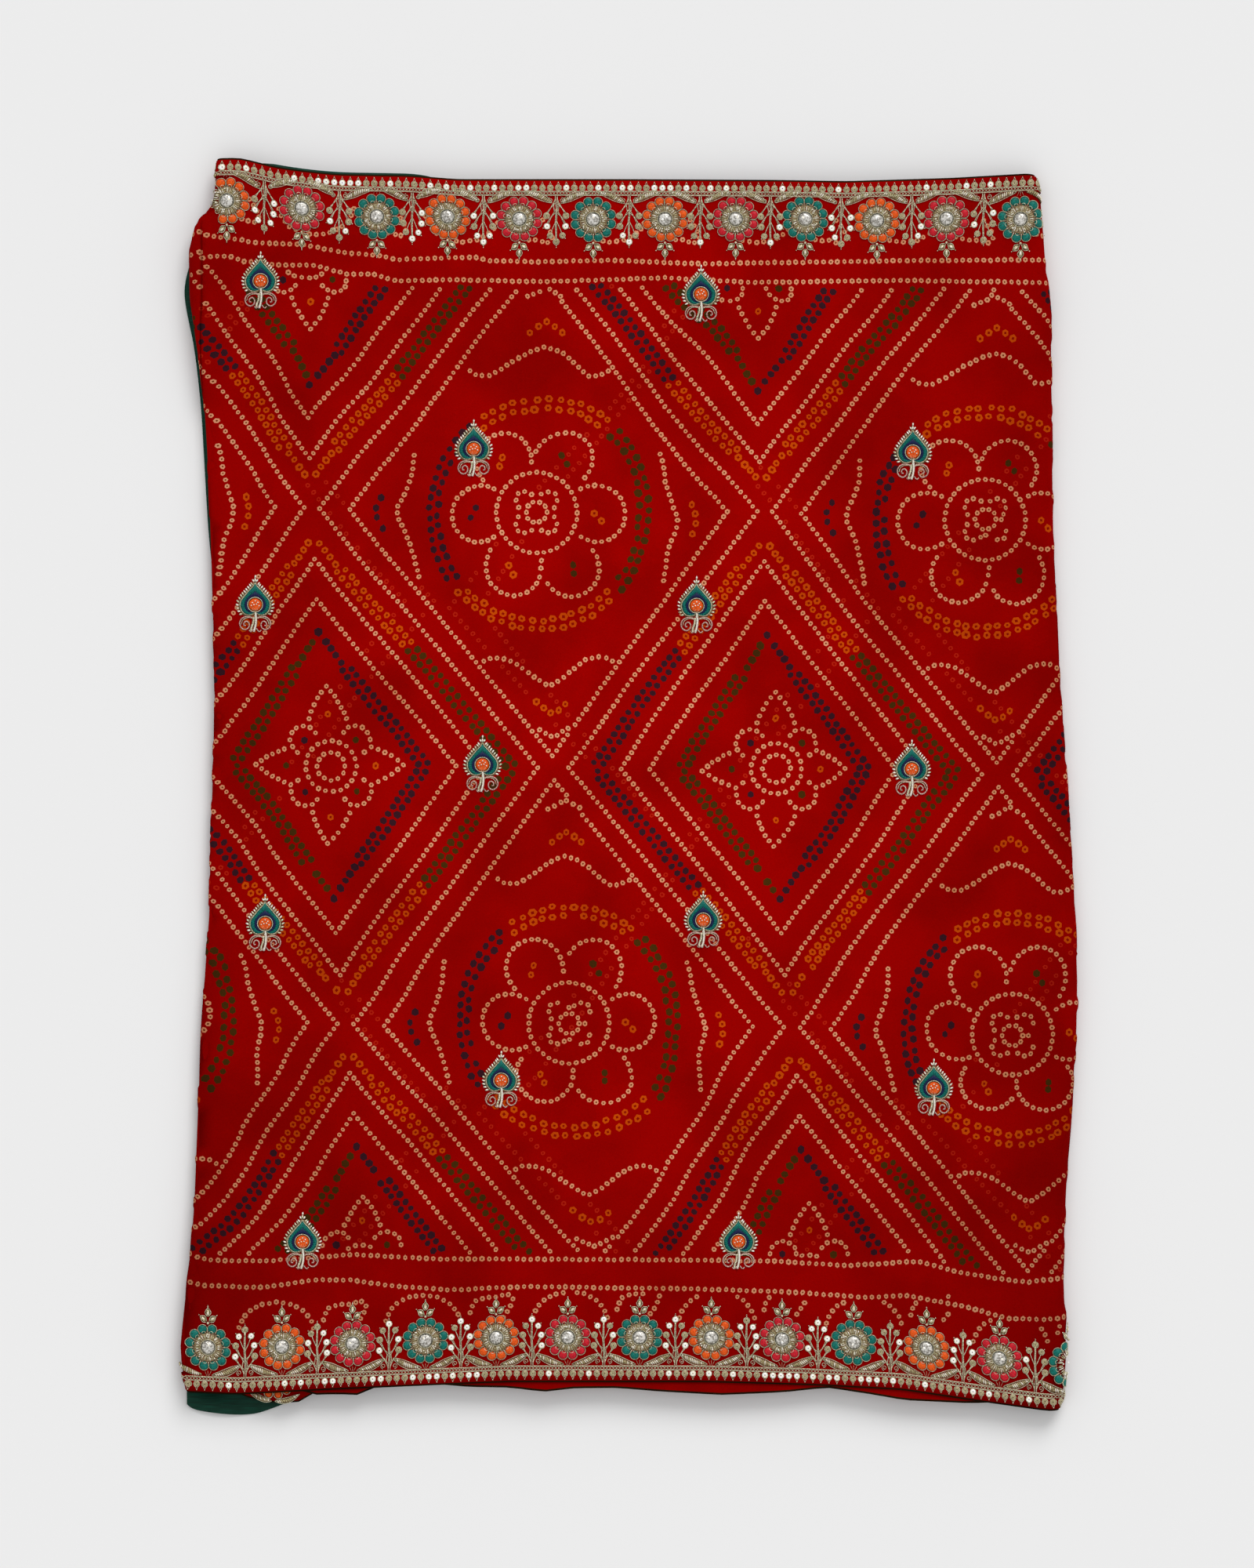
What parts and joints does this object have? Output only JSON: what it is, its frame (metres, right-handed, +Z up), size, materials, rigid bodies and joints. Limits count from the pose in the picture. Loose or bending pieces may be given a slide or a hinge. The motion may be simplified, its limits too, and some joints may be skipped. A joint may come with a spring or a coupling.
{
  "type": "folded bandhani cloth",
  "caption": "Long tie-dyed cloth with embroidered flower borders, sewn feather patches and a plain end panel, folded flat into an oblong stack of plies.",
  "frame": {"origin": "middle of the footprint, on the surface that the cloth lies on", "axes": "+X towards the clean fold at the cloth's right, +Y towards the upper selvedge, +Z up through the plies"},
  "size_m": [0.8154, 1.139, 0.0204],
  "materials": {
    "red_crepe": "matt sheer red crepe with tie-dyed cream, orange, green and blue dots",
    "green_satin": "dark green, soft sheen",
    "embroidered_border": "dull gold and silver thread, beads, sequins and mirrors on maroon",
    "embroidered_buti": "teal and navy satin stitch with a gold thread rim"
  },
  "bodies": {
    "root": {"red_cloth": "red_crepe", "green_panel": "green_satin", "upper_border": "embroidered_border", "lower_border": "embroidered_border", "buti_01": "embroidered_buti", "buti_02": "embroidered_buti", "buti_03": "embroidered_buti", "buti_04": "embroidered_buti", "buti_05": "embroidered_buti", "buti_06": "embroidered_buti", "buti_07": "embroidered_buti", "buti_08": "embroidered_buti", "buti_09": "embroidered_buti", "buti_10": "embroidered_buti", "buti_11": "embroidered_buti", "buti_12": "embroidered_buti", "buti_13": "embroidered_buti", "buti_14": "embroidered_buti"}
  },
  "joints": []
}
